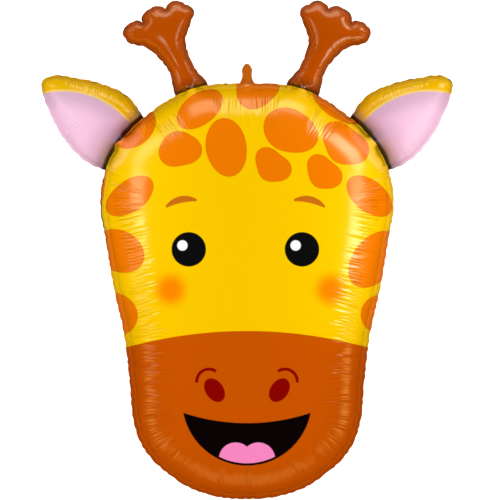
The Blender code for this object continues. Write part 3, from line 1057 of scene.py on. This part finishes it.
# Painted shade: the hem darkens towards the cut edge, less on the pink and not on the tab.
hem_painted_shade = (1 - edge_mm.eased(0.5, 9)) * off_tab * (1 - is_pink * 0.8)
upper_half = upward_mm.eased(-40, 40)
left_side = 1 - across.eased(-200, -170)
ticks = noise(ink_tree, shore_vector, TICK_LUMP, shift=51.0) + left_side * (1 - is_ear) * 0.5
ticks = ticks.eased(0.05, 0.45) * (1 - edge_mm.eased(1.2, 2.4))
ink = blend(ink, HEM_SHADE, hem_painted_shade * 0.6, "MULTIPLY")
ink = blend(ink, DARK, ticks * upper_half * off_tab * (1 - is_pink) * 0.9)
plug(ink_tree, shader.inputs["Base Color"], ink)
print("the print has", len(ink_tree.nodes), "nodes")

# %% [markdown]
# ### The film's gloss
#
# Printed foil is smooth and hard: sharp at first sight, but soft in its reflections, because the ink lies
# over metal that is slightly crumpled. A moderate roughness that drifts a little, and a very shallow fine
# crumple as bump, give that. The welding has left the film matte along the hem.

# %% Roughness
GLOSS_ROUGHNESS = 0.19
CRUMPLE_LUMP, DRIFTING_LUMP = 4 * MM, 50 * MM
place = Field(ink_tree, coordinates.outputs["Object"])
crumple = noise(ink_tree, place, CRUMPLE_LUMP, detail=3.0, shift=11.0)
drift = noise(ink_tree, place, DRIFTING_LUMP, shift=17.0)
matte = (1 - edge_mm.eased(6, 9)) * 0.6
matte = matte.math("MAXIMUM", is_pink * 0.2).math("MAXIMUM", is_horn * 0.03)
plug(ink_tree, shader.inputs["Roughness"], GLOSS_ROUGHNESS + 0.02 * drift + 0.01 * crumple + matte)
shader.inputs["Metallic"].default_value = 0.0
shader.inputs["IOR"].default_value = 2.0
print("gloss set")

# %% [markdown]
# ### Hair-fine creases
#
# Between the puckers run creases that are too narrow for the mesh. They keep to the puckers' own rule, so
# the same function draws them, as the height that a Bump node reads. They are fainter on the muzzle.

# %% Hair-fine creases between the puckers
HAIR_SPACING, HAIR_DEPTH, HAIR_REACH = 6.0 * MM, 1.8 * MM, 95 * MM
CRUMPLE_DEPTH = 0.006 * MM
hair_count = round(shore_length / HAIR_SPACING)
hair_pattern = painted("sheet") * 5 + 80.0
hairs = folds(ink_tree, painted, shore_vector, hair_count, HAIR_REACH, hair_pattern, least=0.55)
hair_room = painted("room")
hairs = hairs * painted("inward").eased(hair_room * 0.05, hair_room * 0.16)
hairs = hairs * (hair_room / FULL_ROOM).clamped(0.15, 1.0)
hairs = hairs * (0.25 + 0.35 * upward_mm.eased(-320, -250) + 0.4 * upward_mm.eased(-150, -90))
relief = crumple * CRUMPLE_DEPTH - hairs * HAIR_DEPTH
bump = ink_tree.nodes.new("ShaderNodeBump")
bump.inputs["Strength"].default_value = 1.0
bump.inputs["Distance"].default_value = 1.0
plug(ink_tree, bump.inputs["Height"], relief)
ink_tree.links.new(bump.outputs["Normal"], shader.inputs["Normal"])
print(hair_count, "fine creases round the shore")

# %% [markdown]
# ## The finished balloon
#
# The modifier gets its sizes by the identifiers of its sockets. The evaluated result becomes a plain mesh,
# the modifier goes, and the balloon takes the place of the frame's plain solid.


# %% Run the pucker tree once and keep its result
def added(name, data):
    """A new object in the scene."""
    thing = bpy.data.objects.new(name, data)
    bpy.context.scene.collection.objects.link(thing)
    return thing


balloon = added("foil_envelope", envelope_mesh)
gather = balloon.modifiers.new("rim_puckers", "NODES")
gather.node_group = puckers
for item in puckers.interface.items_tree:
    if item.in_out == "INPUT" and item.name in PUCKER_SIZES:
        gather[item.identifier] = PUCKER_SIZES[item.name]
gather[film_socket.identifier] = film
gathered = bpy.data.meshes.new_from_object(balloon.evaluated_get(bpy.context.evaluated_depsgraph_get()))
balloon.modifiers.remove(gather)
balloon.data = gathered
balloon.data.name = "foil_envelope"
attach(balloon, "root")
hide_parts("foil_balloon")
low, high = ([round(side, 3) for side in corner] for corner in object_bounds())
print("puckered,", len(gathered.vertices), "points, from", low, "to", high)

# %% [markdown]
# ## Floor, light and camera
#
# Gloss shows what surrounds it, so each pale streak on the film is a lamp in the right place. Soft boxes
# stand low beside the head, where only its shoulders mirror them, and one beyond the crown. Two serve the
# horns, and faint amber ones give the warm band round the muzzle. A narrow beam keeps a box to its own
# stretch of film. Even lights that the gloss doesn't show bring out the inks. The floor is hidden from the
# film, because its mirror image would veil the steep sides, and a light just over it stands in for it.

# %% Floor
FLOOR_REACH = 30
FLOOR_CORNERS = [(-1, -1), (1, -1), (1, 1), (-1, 1)]
floor_mesh = bpy.data.meshes.new("floor")
floor_mesh.from_pydata([(x * FLOOR_REACH, y * FLOOR_REACH, 0) for x, y in FLOOR_CORNERS], [], [(0, 1, 2, 3)])
floor = added("floor", floor_mesh)
pale = bpy.data.materials.new("pale_floor")
pale.use_nodes = True
PALE_LOOK = {
    "Base Color": (0.93, 0.93, 0.93, 1),
    "Roughness": 0.9,
    "Specular IOR Level": 0.0,
    "Emission Color": (1, 1, 1, 1),
    "Emission Strength": 0.7,
}
for name, value in PALE_LOOK.items():
    pale.node_tree.nodes["Principled BSDF"].inputs[name].default_value = value
pale.cycles.emission_sampling = "NONE"
floor_mesh.materials.append(pale)
floor.visible_glossy = False
floor.visible_diffuse = False
floor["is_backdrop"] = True
print("a pale floor", 2 * FLOOR_REACH, "m across")


# %% A lamp with its beam
AIM = (0, 0.04, 0.2)
WIDE_OPEN = 90


def lamp_at(name, place, width, height, radiance, tint, in_gloss=True, aim=AIM, half_spread=WIDE_OPEN):
    """A lamp as bright as the radiance along its beam, whatever its size and the half angle of the beam."""
    light = bpy.data.lights.new(name, "AREA")
    light.shape = "RECTANGLE"
    light.size, light.size_y = width, height
    light.energy = radiance * math.pi * width * height
    light.color = tint
    if half_spread < WIDE_OPEN:
        edge = math.radians(half_spread)
        light.spread = 2 * edge
        light.energy *= 1 - edge / math.tan(edge)
    light.cycles.use_multiple_importance_sampling = in_gloss
    lamp = added(name, light)
    lamp.location = place
    lamp.rotation_euler = (Vector(place) - Vector(aim)).to_track_quat("Z", "Y").to_euler()
    lamp.visible_glossy = in_gloss
    lamp.visible_camera = False


print("a lamp's energy follows its size, radiance and beam")

# %% Lights
# Each lamp has a name, a place, a width, a height and a radiance. The rest is its aim and its half spread.
WARM, AMBER, WHITE_LIGHT = (1.0, 0.95, 0.62), (1.0, 0.6, 0.12), (1.0, 1.0, 1.0)
SOFT_BOXES = [
    ("left", (-0.55, 0.13, 0.32), 0.34, 0.17, 2.8, (-0.16, 0.08, 0.22), 30),
    ("left_low", (-0.52, -0.09, 0.18), 0.14, 0.14, 1.2, (-0.16, -0.02, 0.22), 40),
    ("right", (0.55, 0.10, 0.32), 0.38, 0.18, 2.9, (0.16, 0.07, 0.22), 30),
    ("right_low", (0.55, -0.02, 0.235), 0.12, 0.19, 4.6, (0.15, -0.02, 0.23), 24),
    ("upper_left", (-0.45, 0.42, 0.24), 0.3, 0.15, 1.7, (-0.14, 0.15, 0.21), 26),
    ("upper_right", (0.45, 0.42, 0.23), 0.34, 0.15, 4.6, (0.14, 0.15, 0.21), 26),
    ("left_horn", (-0.22, 0.10, 0.55), 0.16, 0.16, 3.2, (-0.115, 0.285, 0.15), 14),
    ("right_horn", (0.40, -0.03, 0.29), 0.16, 0.16, 5.0, (0.115, 0.285, 0.15), 14),
    ("crown", (0.0, 0.56, 0.15), 0.5, 0.17, 1.3, AIM, WIDE_OPEN),
]
FAINT_BOXES = [
    ("lower_left", (-0.51, -0.37, 0.08), 0.3, 0.1, 1.3),
    ("lower_right", (0.52, -0.32, 0.07), 0.3, 0.1, 1.5),
    ("chin", (0.0, -0.66, 0.13), 0.8, 0.11, 0.65),
]
for name, place, width, height, radiance, aim, half_spread in SOFT_BOXES:
    lamp_at(f"soft_box_{name}", place, width, height, radiance, WARM, True, aim, half_spread)
for name, place, width, height, radiance in FAINT_BOXES:
    lamp_at(f"faint_box_{name}", place, width, height, radiance, AMBER)
EVEN_LIGHTS = [
    ("above", (0, 0.04, 6.0), 5.0, 5.0, 4.85, AIM),
    ("below", (0, 0, 0.002), 3.0, 3.0, 0.9, (0, 0, 1)),
    ("left", (-1.6, 0, 0.5), 1.6, 0.8, 2.0, AIM),
    ("right", (1.6, 0, 0.5), 1.6, 0.8, 2.0, AIM),
    ("chin", (0, -1.6, 0.5), 1.6, 0.8, 1.5, AIM),
    ("crown", (0, 1.7, 0.5), 1.6, 0.8, 0.9, AIM),
]
for name, place, width, height, radiance, aim in EVEN_LIGHTS:
    lamp_at(f"even_light_{name}", place, width, height, radiance, WHITE_LIGHT, False, aim)

world = bpy.data.worlds.new("studio")
world.use_nodes = True
backdrop = world.node_tree.nodes["Background"].inputs
backdrop["Color"].default_value = (1, 1, 1, 1)
backdrop["Strength"].default_value = 0.9
world.cycles_visibility.glossy = False
world.cycles_visibility.diffuse = False
bpy.context.scene.world = world
bpy.context.scene.view_settings.view_transform = "Standard"
print(len(SOFT_BOXES) + len(FAINT_BOXES), "soft boxes and", len(EVEN_LIGHTS), "even lights")

# %% Camera, straight above
CAMERA_HEIGHT = 14.0
CAMERA_SIDE = 4.5 * MM
FRAME_SIDE = 0.75
SENSOR = 36.0
camera_data = bpy.data.cameras.new("camera")
camera_data.sensor_width = SENSOR
camera_data.lens = SENSOR * (CAMERA_HEIGHT - seam_level) / FRAME_SIDE
camera_data.clip_end = 100
camera = added("camera", camera_data)
camera.location = (CAMERA_SIDE, 0, CAMERA_HEIGHT)
bpy.context.scene.camera = camera
print("lens", round(camera_data.lens), "mm")
